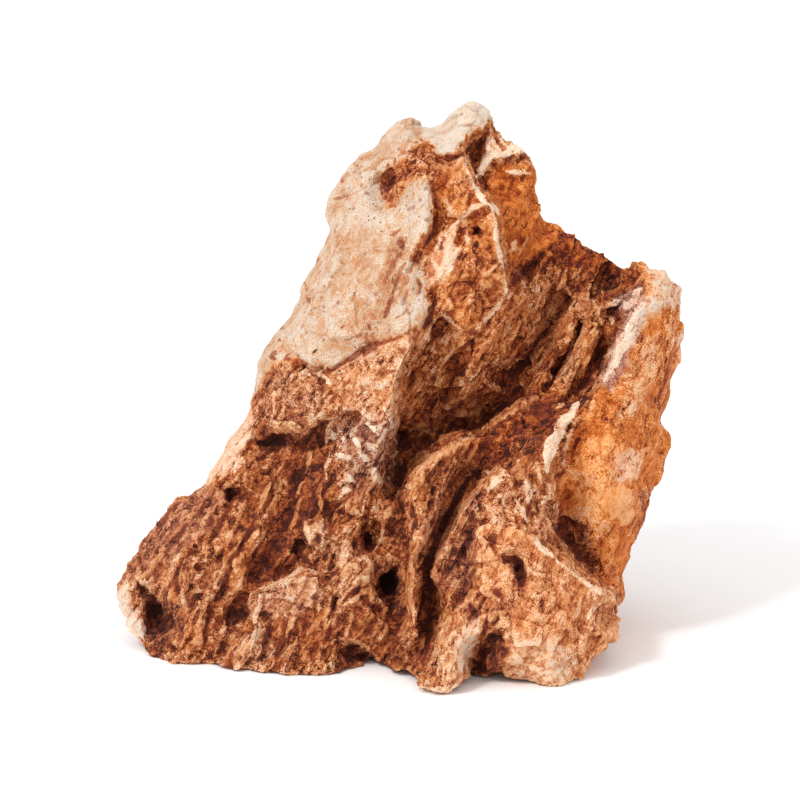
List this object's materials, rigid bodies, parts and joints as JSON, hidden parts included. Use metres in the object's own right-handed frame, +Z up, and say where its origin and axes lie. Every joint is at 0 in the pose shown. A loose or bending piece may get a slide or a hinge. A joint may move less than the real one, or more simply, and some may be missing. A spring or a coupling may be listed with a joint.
{
  "type": "rough rock",
  "caption": "Rough broken rock: a smooth pale slab leans along one side of rusty layered stone with a deep cleft, ledges and pits, and a flat underside to rest on.",
  "frame": {"origin": "centre of the bounding box, on the flat face the rock rests on", "axes": "+X to the right as the pictured side is looked at, +Y away from that viewer, +Z up"},
  "size_m": [0.1804, 0.1384, 0.1663],
  "materials": {
    "rusty_stone": "dry, dull, rough broken stone, rust brown with cream quartz"
  },
  "bodies": {
    "root": {"rock": "rusty_stone"}
  },
  "joints": []
}
